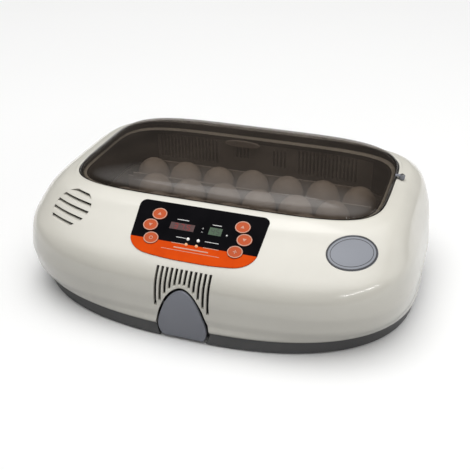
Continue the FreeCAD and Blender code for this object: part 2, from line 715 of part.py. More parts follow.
def badge_prism(name, grow):
    edge = bind(doc.addObject("Part::Ellipse", name + "_edge"),
                MajorRadius="badge_wide + %s" % grow, MinorRadius="badge_high + %s" % grow)
    frame = local_frame(S["badge_x"], S["badge_y"], S["badge_z"])
    normal = frame.Rotation.multVec(FreeCAD.Vector(0, 0, 1))
    turn = math.radians(S["badge_turn"])
    level = FreeCAD.Vector(math.cos(turn), math.sin(turn), 0)
    across = level - normal * normal.dot(level)
    deep = normal.cross(across)
    rotation = FreeCAD.Rotation(across, deep, normal, "ZXY")
    edge.Placement = FreeCAD.Placement(frame.Base - normal * 12, rotation)
    return prism(name, edge, 24, tuple(normal))


def grille_slots():
    """Twelve upright slots above the latch; the middle ones stop short of the arch."""
    slots = []
    highest = S["latch_top"] + S["grille_web"]
    for index in range(12):
        x = (index - 5.5) * S["grille_pitch"]
        share = min(1, abs(x) / S["latch_half"])
        low = highest - (highest - S["grille_low"]) * share ** 2.2
        slots.append(block("grille_slot%d" % index, x - S["grille_width"] / 2, -160, low,
                           "grille_width", 32, "grille_top - %s" % low))
    return slots


def top_cover():
    opening = outline_prism("cover_opening", "opening", 100, 125)
    seat = outline_prism("cover_seat", "glass", S["window_low"] - S["gasket"], 125, -0.4)
    hollow = cut("cover_hollow", outer_body, inner_body, opening, seat)
    posts = []
    for number, (across, up) in enumerate(BOARD_POSTS):
        posts.append(deck_rod("board_post%d" % number, across, up, -S["board_depth"], 3,
                              S["board_depth"] - 3.4))
    whole = join("cover_whole", [hollow] + posts)
    tools = [prism("panel_pocket", panel_wire("pocket_edge", 0.2, -S["panel_recess"]), 12, DECK_NORMAL)]
    tools.append(prism("arch_cut", latch_wire("arch_edge", S["latch_play"]), 26, (0, 1, 0)))
    tools.append(cut("badge_pocket", badge_prism("badge_pocket_prism", 0.25), skin_core))
    for number, (across, up) in enumerate(BUTTONS):
        tools.append(deck_rod("stem_hole%d" % number, across, up, -9, "button_stem + 0.6", 12))
    for number, (across, up) in enumerate(LAMPS):
        tools.append(deck_rod("lamp_hole%d" % number, across, up, -9, 2.1, 12))
    for name, (across, up, wide, high) in DISPLAYS.items():
        tools.append(deck_block(name + "_hole", across, up, -9, wide + 0.6, high + 0.6, 12))
    for number, (across, up) in enumerate(BOARD_POSTS):
        tools.append(deck_rod("board_pilot%d" % number, across, up, -12, 1.0, 7))
    tools.append(block("inlet_hole", "inlet_x - inlet_half - 0.1", 150, "inlet_z - 10.1",
                       "2*inlet_half + 0.2", 30, 20.2))
    tools.append(rod("clip_hole", "clip_x", "clip_y", 100, "clip_screw_radius", 30))
    return cut("top_cover", whole, *(tools + vent_slots() + grille_slots()))


def dome(name, inset):
    """A dome over the window seat: steep at the rim, nearly flat on top, gentler at the front."""
    low = S["window_low"]
    rise = S["dome_rise"] - inset
    rings = []
    for index, turn in enumerate((0, 6, 13, 22, 32, 42, 52, 62, 72, 80, 86)):
        inward = math.cos(math.radians(turn))
        side = (S["glass_half"] - inset) * (1 - inward ** 0.7)
        front = (103 - inset) * (1 - inward ** 0.95)
        rear = (91 - inset) * (1 - inward ** 0.6)
        height = low + rise * math.sin(math.radians(turn)) ** 0.77
        if inset and not index:
            height -= 1
        title = "%s%d" % (name, index)
        rings.append(section("glass", side + inset, 0, title, height, front + inset, rear + inset))
    return loft(name, rings, ruled=True)


def window_shell():
    return cut("window", dome("dome_outside", 0), dome("dome_inside", S["window_wall"]))


def window_gasket():
    low = S["window_low"] - S["gasket"]
    return outline_ring("window_gasket", "glass", low, low + S["gasket"], 0, 3.5)


def window_clip():
    """A turning tab beside the window; its arm reaches over the window's edge."""
    tab = rod("clip_disc", "clip_x", "clip_y", "clip_low", 3.2, "clip_top - clip_low")
    arm = block("clip_arm", "clip_x - 7.5", "clip_y - 2.2", "clip_arm_low", 8, 4.4, "clip_top - clip_arm_low")
    bore = rod("clip_bore", "clip_x", "clip_y", 110, "clip_screw_radius + bore_play", 30)
    return cut("window_clip", join("clip_whole", [tab, arm]), bore)


def clip_screw():
    shank = rod("clip_shank", "clip_x", "clip_y", 112, "clip_screw_radius", "clip_top + 0.5 - 112")
    head = rod("clip_head", "clip_x", "clip_y", "clip_top", 2.2, 1)
    return join("clip_screw", [shank, head])


# ---------------------------------------------------------------- control panel

def control_panel():
    depth = S["panel_recess"]
    plate = prism("panel_plate", panel_wire("panel_edge", 0, -depth), depth + S["panel_proud"], DECK_NORMAL)
    tools = []
    for number, (across, up) in enumerate(BUTTONS):
        tools.append(deck_oval("button_well%d" % number, across, up, -4, S["button_wide"] + 0.3,
                               S["button_high"] + 0.3, 8))
    for number, (across, up) in enumerate(LAMPS):
        tools.append(deck_rod("lamp_window%d" % number, across, up, -4, 1.7, 8))
    for name, (across, up, wide, high) in DISPLAYS.items():
        tools.append(deck_block(name + "_window", across, up, -4, wide + 0.2, high + 0.2, 8))
    return cut("control_panel", plate, *tools)


def button(number):
    across, up = BUTTONS[number]
    proud = S["button_proud"]
    cap = deck_oval("button_cap%d" % number, across, up, -0.8, S["button_wide"], S["button_high"],
                    proud + 0.8)
    stem = deck_rod("button_rod%d" % number, across, up, -9, "button_stem", 9)
    return join("button_%d" % (number + 1), [cap, stem])


def display(name):
    across, up, wide, high = DISPLAYS[name]
    top = 0.1
    return deck_block(name, across, up, -S["board_depth"], wide, high, S["board_depth"] + top)


def indicator_lights():
    lamps = []
    for number, (across, up) in enumerate(LAMPS):
        body = deck_rod("lamp_body%d" % number, across, up, -S["board_depth"], 1.6, S["board_depth"] + 0.5)
        dome = bind(doc.addObject("Part::Sphere", "lamp_dome%d" % number), Radius=1.6)
        on_deck(dome, across, up, 0.5)
        lamps.append(join("lamp%d" % number, [body, dome]))
    return gather("indicator_lights", lamps)


def panel_board():
    depth = S["board_depth"]
    thick = S["board_thick"]
    board = deck_block("board_plate", 0, -4, -depth - thick, 2 * S["board_half"], 52, thick)
    holes = [
        deck_rod("board_hole%d" % number, across, up, -20, 1.3, 20)
        for number, (across, up) in enumerate(BOARD_POSTS)
    ]
    return cut("panel_board", board, *holes)


def board_screws():
    depth = S["board_depth"] + S["board_thick"]
    screws = []
    for number, (across, up) in enumerate(BOARD_POSTS):
        shank = deck_rod("board_shank%d" % number, across, up, -depth - 0.5, 0.98, 6)
        head = deck_rod("board_head%d" % number, across, up, -depth - 1.6, 2.4, 1.6)
        screws.append(join("board_screw%d" % number, [shank, head]))
    return gather("board_screws", screws)


def oval_badge():
    plate = common("badge_plate", outer_body, badge_prism("badge_prism", 0))
    return cut("oval_badge", plate, skin_core)


# ---------------------------------------------------------------- rear duct

def cover_liner():
    """Skirt that closes the egg chamber under the window, with a flange and a lip around the opening.
    The duct wall takes the place of the skirt's rear side."""
    high = roof - 0.02
    low = high - S["thin_wall"]
    skirt = cut("skirt", outline_ring("skirt_ring", "skirt", S["duct_low"], high, 0, S["thin_wall"]),
                block("skirt_rear_zone", -200, "duct_y - 0.1", 60, 400, 60, low - 60))
    flange = cut("skirt_flange", outline_prism("flange_out", "skirt", low, high),
                 outline_prism("flange_in", "opening", low - 1, high + 1, 2.3))
    lip = outline_ring("skirt_lip", "opening", low, S["lip_top"], S["gap"], 2.3)
    return join("cover_liner", [skirt, flange, lip])


def fan_corners():
    levels = ("fan_z - fan_corner", "fan_z + fan_corner")
    return [(x, z) for x in ("-fan_corner", "fan_corner") for z in levels]


def fan_screw_holes(name):
    return gather(name, [
        rod("%s%d" % (name, number), x, "duct_y + 0.3", z, "fan_screw", 30, ALONG_REAR)
        for number, (x, z) in enumerate(fan_corners())
    ])


def duct_wall():
    plate = block("duct_plate", "-duct_half", "duct_y", "duct_low", "2*duct_half", "thin_wall",
                  "duct_top - duct_low")
    groups = ((-138, 17, 76, 107), (-33, 4, 88, 102), (16, 4, 82, 103), (49, 16, 76, 107))
    tools = []
    for group, (start, count, low, high) in enumerate(groups):
        for index in range(count):
            tools.append(block("duct_slot%d_%d" % (group, index), start + 4.8 * index, 110, low,
                               "slot_width", 30, high - low))
    return cut("duct_wall", plate, fan_screw_holes("duct_pilot"), *tools)


def sensor_cover():
    edge = bind(doc.addObject("Part::Ellipse", "sensor_edge"), MajorRadius=23, MinorRadius=4.2)
    face = S["opening_rear"] - 2.35
    edge.Placement = FreeCAD.Placement(FreeCAD.Vector(-23.5, face, 108.6),
                                       FreeCAD.Rotation(FreeCAD.Vector(1, 0, 0), 90))
    return prism("sensor_cover", edge, 3, (0, -1, 0))


def fan_housing():
    frame = block("fan_frame", "-fan_half", "fan_front", "fan_z - fan_half", "2*fan_half", "fan_depth",
                  "2*fan_half")
    bore = rod("fan_bore_tool", 0, 100, "fan_z", "fan_bore", 80, ALONG_REAR)
    ring_part = cut("fan_ring", frame, bore, fan_screw_holes("fan_frame_hole"))
    spider_y = "fan_front + fan_depth - 2"
    level = block("fan_spoke_level", "-fan_half + 1", spider_y, "fan_z - 1.5", "2*fan_half - 2", 2, 3)
    upright = block("fan_spoke_upright", -1.5, spider_y, "fan_z - fan_half + 1", 3, 2, "2*fan_half - 2")
    seat = rod("fan_motor_seat", 0, 100, "fan_z", "hub_radius", 80, ALONG_REAR)
    return join("fan_housing", [ring_part, cut("fan_spider", join("fan_cross", [level, upright]), seat)])


def fan_motor():
    can = rod("fan_can", 0, "fan_front + 8.5", "fan_z", "hub_radius", 6, ALONG_REAR)
    bore = rod("fan_can_bore", 0, 100, "fan_z", "shaft_radius + bore_play", "fan_front - 87", ALONG_REAR)
    return cut("fan_motor", can, bore)


def fan_shaft():
    return rod("fan_shaft", 0, "fan_front + 2", "fan_z", "shaft_radius", 10.5, ALONG_REAR)


def fan_impeller():
    hub = rod("fan_hub", 0, "fan_front + 1.5", "fan_z", "hub_radius", 6.5, ALONG_REAR)
    blades = []
    for index in range(7):
        blade = bind(doc.addObject("Part::Box", "fan_blade%d" % index), Length="fan_radius - 5", Width=1.2,
                     Height=7)
        pitch = FreeCAD.Placement(FreeCAD.Vector(5, -0.6, 0.4), FreeCAD.Rotation(FreeCAD.Vector(1, 0, 0), 40))
        spin = FreeCAD.Placement(FreeCAD.Vector(), FreeCAD.Rotation(FreeCAD.Vector(0, 0, 1), index * 360 / 7))
        turn = FreeCAD.Placement(FreeCAD.Vector(0, S["fan_front"] + 2, S["fan_z"]),
                                 FreeCAD.Rotation(FreeCAD.Vector(-1, 0, 0), 90))
        blade.Placement = turn.multiply(spin).multiply(pitch)
        blades.append(blade)
    whole = join("impeller_whole", [hub] + blades)
    whole.Refine = False
    bore = rod("impeller_bore", 0, "fan_front + 2", "fan_z", "shaft_radius", 30, ALONG_REAR)
    return cut("fan_impeller", whole, bore)


def heater_element():
    """Two straight sheathed rods with fins, one on each side of the fan."""
    heaters = []
    for side, start in (("left", "-heater_end"), ("right", "heater_start")):
        parts = [rod("heater_rod_" + side, start, "heater_y", "heater_z", "heater_radius",
                     "heater_end - heater_start", ALONG_X)]
        for index in range(12):
            parts.append(rod("heater_fin_%s%d" % (side, index), start + " + 6 + %s" % (7 * index), "heater_y",
                             "heater_z", 6.5, 1, ALONG_X))
        for end, offset in (("near", 1), ("far", 85)):
            parts.append(block("heater_foot_%s_%s" % (side, end), start + " + %d" % offset,
                               "duct_y + thin_wall", "heater_z - 4", 3, "heater_y - duct_y - thin_wall + 4", 8))
        heaters.append(join("heater_" + side, parts))
    return gather("heater_element", heaters)


def power_inlet():
    body = block("inlet_body", "inlet_x - inlet_half", 150, "inlet_z - 10", "2*inlet_half", 18, 20)
    plate = block("inlet_plate", "inlet_x - inlet_half - 3", 155, "inlet_z - 13", "2*inlet_half + 6", 12.6,
                  26)
    flange = cut("inlet_flange", plate, outer_body)
    well = block("inlet_well", "inlet_x - inlet_half + 2", 154, "inlet_z - 8", "2*inlet_half - 4", 30, 16)
    shell = cut("inlet_shell", join("inlet_whole", [body, flange]), well)
    prongs = [
        block("inlet_prong%d" % number, "inlet_x + %s" % x, 152, "inlet_z - 2", 1.6, 13, 4)
        for number, x in enumerate(("(-6)", "(-0.8)", "4.4"))
    ]
    return join("power_inlet", [shell] + prongs)


def fan_screws():
    """Four long screws through the fan's corners into the duct wall."""
    screws = []
    for number, (x, z) in enumerate(fan_corners()):
        shank = rod("fan_screw_shank%d" % number, x, "duct_y + 0.3", z, "fan_screw", "fan_depth + 2",
                    ALONG_REAR)
        head = rod("fan_screw_head%d" % number, x, "fan_front + fan_depth", z, 2.4, 1.4, ALONG_REAR)
        screws.append(join("fan_screw%d" % number, [shank, head]))
    return gather("fan_screws", screws)


# ---------------------------------------------------------------- build every node

doc.recompute()

SIMPLE = (
    base_tray, rubber_feet, base_screws, chamber_liner, rack_bearings, egg_rack, drive_shaft,
    turner_motor, motor_bracket, water_pan, water_port, latch, latch_bracket, latch_pin,
    latch_spring, latch_strike, hinge_base_leaves, hinge_cover_leaves, hinge_pins, top_cover,
    window_gasket, control_panel, indicator_lights, panel_board, board_screws, oval_badge,
    cover_liner, duct_wall, sensor_cover, fan_housing, fan_motor, fan_shaft, fan_impeller,
    heater_element, power_inlet, fan_screws, window_clip, clip_screw,
)
for maker in SIMPLE:
    node(maker.__name__, maker())
node("window", window_shell())
for name in DISPLAYS:
    node(name, display(name))
for number in range(len(BUTTONS)):
    node("button_%d" % (number + 1), button(number))

doc.recompute()

faults = [item.Name for item in doc.Objects if "Invalid" in item.State or "Error" in item.State]
for name, item in nodes.items():
    if item.Shape.isNull() or not item.Shape.isValid() or not item.Shape.Solids:
        faults.append(name)
if faults:
    raise RuntimeError("these objects failed: " + ", ".join(faults))

os.makedirs("parts", exist_ok=True)
for name, item in nodes.items():
    item.Shape.exportStep("parts/%s.step" % name)
print("%d nodes, %d solids" % (len(nodes), sum(len(item.Shape.Solids) for item in nodes.values())))
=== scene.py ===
import bpy
import bmesh
import math
import random
from mathutils import Matrix, Vector
from mathutils.bvhtree import BVHTree


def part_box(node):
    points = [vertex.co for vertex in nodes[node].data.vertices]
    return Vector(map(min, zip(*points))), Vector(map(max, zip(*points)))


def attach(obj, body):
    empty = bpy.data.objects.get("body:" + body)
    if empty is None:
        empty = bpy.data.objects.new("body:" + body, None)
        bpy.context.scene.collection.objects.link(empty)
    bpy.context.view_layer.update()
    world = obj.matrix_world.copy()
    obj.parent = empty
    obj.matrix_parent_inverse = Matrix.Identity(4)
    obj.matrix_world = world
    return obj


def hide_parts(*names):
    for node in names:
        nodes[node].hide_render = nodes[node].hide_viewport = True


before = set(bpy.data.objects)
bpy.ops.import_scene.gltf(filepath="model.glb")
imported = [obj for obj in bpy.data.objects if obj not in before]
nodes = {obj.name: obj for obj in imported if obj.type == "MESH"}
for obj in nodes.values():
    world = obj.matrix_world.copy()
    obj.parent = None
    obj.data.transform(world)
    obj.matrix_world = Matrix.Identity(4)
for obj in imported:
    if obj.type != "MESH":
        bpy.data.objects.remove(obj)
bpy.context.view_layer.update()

MM = 0.001
random.seed(20)


# ---------------------------------------------------------------- shader kit

def new_material(name):
    material = bpy.data.materials.new(name)
    material.use_nodes = True
    tree = material.node_tree
    return material, tree, tree.nodes["Principled BSDF"]


def add(tree, kind, **settings):
    """A shader node; settings in capitals are its inputs, and the rest are its options."""
    node = tree.nodes.new(kind)
    for key, value in settings.items():
        if key[0].isupper():
            node.inputs[key.replace("_", " ")].default_value = value
        else:
            setattr(node, key, value)
    return node


def object_position(tree):
    return add(tree, "ShaderNodeTexCoord").outputs["Object"]


def noise(tree, scale, detail=4.0, position=None):
    texture = add(tree, "ShaderNodeTexNoise", Scale=scale, Detail=detail, Roughness=0.55)
    tree.links.new(position or object_position(tree), texture.inputs["Vector"])
    return texture.outputs["Fac"]


def spread(tree, value, low, high, start=0.3, end=0.7):
    """Map the range start..end of a value onto low..high, held at both ends."""
    ramp = add(tree, "ShaderNodeMapRange", From_Min=start, From_Max=end, To_Min=low, To_Max=high)
    tree.links.new(value, ramp.inputs["Value"])
    return ramp.outputs["Result"]


def mix_colours(tree, share, first, second):
    mix = add(tree, "ShaderNodeMix", data_type="RGBA")
    for socket, colour in ((6, first), (7, second)):
        if isinstance(colour, tuple):
            mix.inputs[socket].default_value = (*colour, 1)
        else:
            tree.links.new(colour, mix.inputs[socket])
    tree.links.new(share, mix.inputs[0])
    return mix.outputs[2]


def scaled(colour, factor):
    return tuple(min(1, factor * channel) for channel in colour)


def rounded_edges(tree, radius):
    """The normal with edges softened by a small radius, and how close a point is to such an edge."""
    bevel = add(tree, "ShaderNodeBevel", samples=4, Radius=radius)
    alike = add(tree, "ShaderNodeVectorMath", operation="DOT_PRODUCT")
    tree.links.new(bevel.outputs["Normal"], alike.inputs[0])
    tree.links.new(add(tree, "ShaderNodeNewGeometry").outputs["Normal"], alike.inputs[1])
    return bevel.outputs["Normal"], spread(tree, alike.outputs["Value"], 1, 0, 0.86, 0.99)


def bump(tree, shader, height, strength, distance, normal=None):
    node = add(tree, "ShaderNodeBump", Strength=strength, Distance=distance)
    tree.links.new(height, node.inputs["Height"])
    if normal:
        tree.links.new(normal, node.inputs["Normal"])
    tree.links.new(node.outputs["Normal"], shader.inputs["Normal"])


def plastic(name, base, roughness, grain=0.2, grain_scale=1400, wear=1.15, coat=0.0, edge=0.0004,
            shine=0.5):
    """Moulded plastic: faint patches of tone, worn edges, painted shade darkening its corners and hollows,
    uneven gloss and grain.
    """
    material, tree, shader = new_material(name)
    normal, at_edge = rounded_edges(tree, edge)
    patches = mix_colours(tree, spread(tree, noise(tree, 11), 0, 1), base, scaled(base, 0.93))
    # Painted shade: ambient occlusion darkens the colour towards a near-black copy of the base in corners and
    # recesses.
    hollow = add(tree, "ShaderNodeAmbientOcclusion", samples=4, Distance=0.008)
    corner_shade = spread(tree, hollow.outputs["AO"], 1, 0, 0.02, 0.62)
    colour = mix_colours(tree, corner_shade, patches, scaled(base, 0.12))
    rubbed = add(tree, "ShaderNodeMath", operation="MULTIPLY")
    tree.links.new(at_edge, rubbed.inputs[0])
    tree.links.new(spread(tree, noise(tree, 160), 0, 0.8, 0.35, 0.65), rubbed.inputs[1])
    colour = mix_colours(tree, rubbed.outputs["Value"], colour, scaled(base, wear))
    tree.links.new(colour, shader.inputs["Base Color"])
    uneven = spread(tree, noise(tree, 38), roughness * 0.85, roughness * 1.2)
    tree.links.new(uneven, shader.inputs["Roughness"])
    shader.inputs["Specular IOR Level"].default_value = shine
    shader.inputs["Coat Weight"].default_value = coat
    shader.inputs["Coat Roughness"].default_value = 0.06
    bump(tree, shader, noise(tree, grain_scale, 2.0), grain, 0.0002, normal)
    return material


def metal(name, base, roughness, stretch=(1, 30, 30)):
    """Drawn metal: fine streaks along one direction, in tone, gloss and height."""
    material, tree, shader = new_material(name)
    mapping = add(tree, "ShaderNodeMapping", Scale=stretch)
    tree.links.new(object_position(tree), mapping.inputs["Vector"])
    streaks = noise(tree, 90, 3.0, mapping.outputs["Vector"])
    tree.links.new(mix_colours(tree, streaks, scaled(base, 0.6), base), shader.inputs["Base Color"])
    tree.links.new(spread(tree, streaks, roughness * 0.7, roughness * 1.4), shader.inputs["Roughness"])
    shader.inputs["Metallic"].default_value = 1
    bump(tree, shader, streaks, 0.15, 0.0001, rounded_edges(tree, 0.0003)[0])
    return material


# ---------------------------------------------------------------- the sloping deck's own frame

DECK_SLOPE = math.radians(30.47)
PANEL_MIDDLE = Vector((0, -92, 105.2)) * MM
DECK_UP = Vector((0, math.cos(DECK_SLOPE), math.sin(DECK_SLOPE)))
DECK_OUT = Vector((0, -math.sin(DECK_SLOPE), math.cos(DECK_SLOPE)))
PANEL_FACE = 0.4
PANEL_SPLIT = -18.8


def deck(across, up, out):
    """A point given in millimetres across the deck, up its slope and out from it."""
    return PANEL_MIDDLE + (Vector((across, 0, 0)) + DECK_UP * up + DECK_OUT * out) * MM


# ---------------------------------------------------------------- special materials

def panel_material():
    """Printed film: near-black above a straight line and vivid orange below it."""
    material, tree, shader = new_material("panel_print")
    climb = add(tree, "ShaderNodeVectorMath", operation="DOT_PRODUCT")
    tree.links.new(object_position(tree), climb.inputs[0])
    climb.inputs[1].default_value = DECK_UP
    level = PANEL_MIDDLE.dot(DECK_UP) + PANEL_SPLIT * MM
    above = spread(tree, climb.outputs["Value"], 0, 1, level - 0.0001, level + 0.0001)
    orange = mix_colours(tree, spread(tree, noise(tree, 60), 0, 1),
                         (0.80, 0.085, 0.006), (0.72, 0.07, 0.006))
    black = mix_colours(tree, spread(tree, noise(tree, 40), 0, 1),
                        (0.003, 0.003, 0.004), (0.006, 0.0055, 0.007))
    tree.links.new(mix_colours(tree, above, orange, black), shader.inputs["Base Color"])
    tree.links.new(spread(tree, noise(tree, 70), 0.24, 0.36), shader.inputs["Roughness"])
    shader.inputs["Specular IOR Level"].default_value = 0.01
    bump(tree, shader, noise(tree, 500, 2.0), 0.12, 0.0001, rounded_edges(tree, 0.0004)[0])
    return material


def smoked_glass():
    """Smoked clear plastic: tinted light passes straight through, under clean reflections."""
    material, tree, shader = new_material("smoked_glass")
    tree.nodes.remove(shader)
    clear = add(tree, "ShaderNodeBsdfTransparent")
    tint = mix_colours(tree, spread(tree, noise(tree, 9), 0, 1),
                       (0.68, 0.655, 0.63), (0.72, 0.695, 0.67))
    gloss = add(tree, "ShaderNodeBsdfGlossy")
    tree.links.new(spread(tree, noise(tree, 30), 0.03, 0.07), gloss.inputs["Roughness"])
    facing = add(tree, "ShaderNodeLayerWeight", Blend=0.5)
    steep = add(tree, "ShaderNodeMath", operation="POWER")
    tree.links.new(facing.outputs["Facing"], steep.inputs[0])
    steep.inputs[1].default_value = 5
    at_edge = mix_colours(tree, steep.outputs["Value"], tint, (0.06, 0.05, 0.045))
    tree.links.new(at_edge, clear.inputs["Color"])
    haze = add(tree, "ShaderNodeBsdfDiffuse", Color=(0.42, 0.34, 0.28, 1))
    cloudy = add(tree, "ShaderNodeMixShader")
    tree.links.new(spread(tree, noise(tree, 14), 0.028, 0.055), cloudy.inputs["Fac"])
    tree.links.new(clear.outputs["BSDF"], cloudy.inputs[1])
    tree.links.new(haze.outputs["BSDF"], cloudy.inputs[2])
    mix = add(tree, "ShaderNodeMixShader")
    tree.links.new(spread(tree, steep.outputs["Value"], 0.035, 0.5, 0, 1), mix.inputs["Fac"])
    tree.links.new(cloudy.outputs["Shader"], mix.inputs[1])
    tree.links.new(gloss.outputs["BSDF"], mix.inputs[2])
    tree.links.new(mix.outputs["Shader"], tree.nodes["Material Output"].inputs["Surface"])
    return material


def eggshell(number):
    """Matt shell with a fine pitted grain; each one is a slightly different warm grey."""
    material, tree, shader = new_material("eggshell_%d" % number)
    warmth = random.uniform(-0.03, 0.03)
    base = (0.52 + warmth, 0.48, 0.445 - warmth)
    speckle = spread(tree, noise(tree, 130, 6), 0, 1)
    tree.links.new(mix_colours(tree, speckle, base, scaled(base, 0.9)), shader.inputs["Base Color"])
    tree.links.new(spread(tree, noise(tree, 60), 0.42, 0.58), shader.inputs["Roughness"])
    bump(tree, shader, noise(tree, 1400, 3), 0.35, 0.0002)
    return material


def screen(name, base, glow, strength):
    """A display face or lit mark: a tinted, slightly cloudy surface with a little light of its own."""
    material, tree, shader = new_material(name)
    cloud = spread(tree, noise(tree, 120), 0, 1)
    tree.links.new(mix_colours(tree, cloud, base, scaled(base, 0.85)), shader.inputs["Base Color"])
    tree.links.new(spread(tree, noise(tree, 200), 0.2, 0.3), shader.inputs["Roughness"])
    shader.inputs["Emission Color"].default_value = (*glow, 1)
    shader.inputs["Emission Strength"].default_value = strength
    shader.inputs["Specular IOR Level"].default_value = 0.12
    bump(tree, shader, noise(tree, 800, 2.0), 0.05, 0.0001)
    return material


IVORY = plastic("ivory_shell", (0.80, 0.775, 0.695), 0.22, 0.03, 160, 1.03, 0.5, 0.0006)
DARK_BASE = plastic("dark_base", (0.085, 0.085, 0.086), 0.42, 0.3, 1500, 1.7)
RUBBER = plastic("rubber", (0.014, 0.014, 0.014), 0.6, 0.4, 1200, 1.5)
PANEL = panel_material()
ORANGE = plastic("button_orange", (0.62, 0.10, 0.022), 0.34, 0.2, 1600, 1.1, shine=0.15)
PALE_PRINT = plastic("pale_print", (0.75, 0.42, 0.31), 0.4, 0.1, 900, 1.05, shine=0.15)
WHITE_PRINT = plastic("white_print", (0.78, 0.78, 0.76), 0.4, 0.1, 900, 1.05)
BLUE_GREY = plastic("blue_grey", (0.27, 0.28, 0.32), 0.4, 0.3, 1300, 1.35, edge=0.0012)
BADGE = plastic("badge_blue_grey", (0.29, 0.305, 0.345), 0.32, 0.12, 900, 1.2)
DARK_LINE = plastic("dark_line", (0.045, 0.046, 0.052), 0.4, 0.1, 900, 1.5)
INNER = plastic("inner_grey", (0.30, 0.285, 0.27), 0.45, 0.2, 1400, 1.2)
# Painted shade: the cover liner is coloured near-black so its lip inside the window stays dark instead of
# showing as a lit ring.
LINER = plastic("liner_painted_shade", (0.04, 0.037, 0.035), 0.55, 0.06, 900, 1.1, shine=0.1)
PALE = plastic("pale_plastic", (0.55, 0.51, 0.47), 0.42, 0.15, 1200, 1.15)
BLACK = plastic("black_plastic", (0.02, 0.02, 0.021), 0.4, 0.3, 1500, 2.0)
BOARD = plastic("circuit_board", (0.015, 0.11, 0.04), 0.35, 0.2, 2000, 1.3)
STEEL = metal("steel", (0.62, 0.62, 0.63), 0.28)
RED_SCREEN = screen("red_screen", (0.10, 0.06, 0.06), (0.9, 0.3, 0.3), 0.02)
GREEN_SCREEN = screen("green_screen", (0.08, 0.13, 0.08), (0.5, 0.7, 0.5), 0.02)
RED_DIGIT = screen("red_digit", (0.28, 0.04, 0.04), (1.0, 0.10, 0.08), 0.04)
DARK_DIGIT = plastic("dark_digit", (0.03, 0.05, 0.03), 0.5, 0.1, 900)
WHITE_LAMP = screen("white_lamp", (0.85, 0.84, 0.82), (1.0, 0.95, 0.9), 0.4)
AMBER_LAMP = screen("amber_lamp", (0.85, 0.50, 0.28), (1.0, 0.55, 0.3), 0.3)
GLASS = smoked_glass()

NODE_MATERIALS = {
    IVORY: ["top_cover", "hinge_cover_leaves"],
    DARK_BASE: ["base_tray", "hinge_base_leaves"],
    RUBBER: ["window_gasket", "rubber_feet"],
    PANEL: ["control_panel"],
    ORANGE: ["button_%d" % number for number in range(1, 7)],
    BLUE_GREY: ["latch", "window_clip"],
    BADGE: ["oval_badge"],
    INNER: ["chamber_liner", "duct_wall"],
    LINER: ["cover_liner"],
    PALE: ["egg_rack", "rack_bearings", "water_pan", "sensor_cover"],
    BLACK: ["latch_bracket", "latch_strike", "motor_bracket", "water_port", "fan_housing", "fan_motor",
            "fan_impeller", "power_inlet"],
    BOARD: ["panel_board"],
    STEEL: ["clip_screw", "board_screws", "base_screws", "fan_screws", "latch_pin", "latch_spring",
            "hinge_pins", "drive_shaft", "turner_motor", "fan_shaft", "heater_element"],
    RED_SCREEN: ["temperature_display"],
    GREEN_SCREEN: ["humidity_display"],
    WHITE_LAMP: ["indicator_lights"],
}
for material, names in NODE_MATERIALS.items():
    for name in names:
        slots = nodes[name].data.materials
        slots.clear()
        slots.append(material)


# ---------------------------------------------------------------- mesh kit

def piece(name, build, material, body, smooth_below=None):
    """A new object made by a bmesh builder, riding on a CAD body."""
    mesh = bpy.data.meshes.new(name)
    shape = bmesh.new()
    build(shape)
    bmesh.ops.recalc_face_normals(shape, faces=shape.faces)
    shape.to_mesh(mesh)
    shape.free()
    mesh.shade_smooth()
    if smooth_below:
        mesh.set_sharp_from_angle(angle=math.radians(smooth_below))
    mesh.materials.append(material)
    item = bpy.data.objects.new(name, mesh)
    bpy.context.scene.collection.objects.link(item)
    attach(item, body)
    return item


def skin(shape, rings, closed=False):
    """Faces between rings of points; the ends are capped, or the last ring joins the first."""
    loops = [[shape.verts.new(point) for point in points] for points in rings]
    pairs = list(zip(loops, loops[1:]))
    if closed:
        pairs.append((loops[-1], loops[0]))
    for first, second in pairs:
        count = len(first)
        for index in range(count):
            after = (index + 1) % count
            shape.faces.new((first[index], first[after], second[after], second[index]))
    if not closed:
        shape.faces.new(loops[0])
        shape.faces.new(loops[-1])


def deck_slab(shape, outline, low, high):
    """A thin plate on the deck from an outline of (across, up) points."""
    skin(shape, [[deck(x, y, level) for x, y in outline] for level in (low, high)])


def oval_points(x, y, wide, high, count=40):
    turns = [2 * math.pi * index / count for index in range(count)]
    return [(x + wide * math.cos(turn), y + high * math.sin(turn)) for turn in turns]


def deck_ring(shape, x, y, wide, high, width, low, top):
    """An oval band on the deck with a slightly domed top."""
    bands = ((0, low), (0, top - 0.05), (0.25, top), (0.75, top), (1, top - 0.05), (1, low))
    skin(shape, [[deck(a, b, level) for a, b in oval_points(x, y, wide - share * width, high - share * width)]
                 for share, level in bands], closed=True)


def bar_points(x, y, length, width):
    return [(x - length / 2, y - width / 2), (x + length / 2, y - width / 2),
            (x + length / 2, y + width / 2), (x - length / 2, y + width / 2)]


# ---------------------------------------------------------------- window

GLASS_HALF = 179
GLASS_FRONT = -58
GLASS_REAR = 136
GLASS_SEAT = 116
GLASS_THICK = 2.6
DOME_RISE = 25
FRONT_LEAN = 103
REAR_LEAN = 91
SQUARENESS = 4.9
BEAD_RISE = 2.6
BEAD_CLIMB = 3.6


def glass_outline(half, front, rear, height, count=192):
    """The window's outline at one height: a rectangle with very full round corners."""
    middle = (front + rear) / 2
    depth = (rear - front) / 2
    points = []
    for index in range(count):
        turn = 2 * math.pi * index / count
        along, across = math.cos(turn), math.sin(turn)
        total = abs(along / half) ** SQUARENESS + abs(across / depth) ** SQUARENESS
        reach = total ** (-1 / SQUARENESS)
        points.append(Vector((reach * along, middle + reach * across, height)) * MM)
    return points


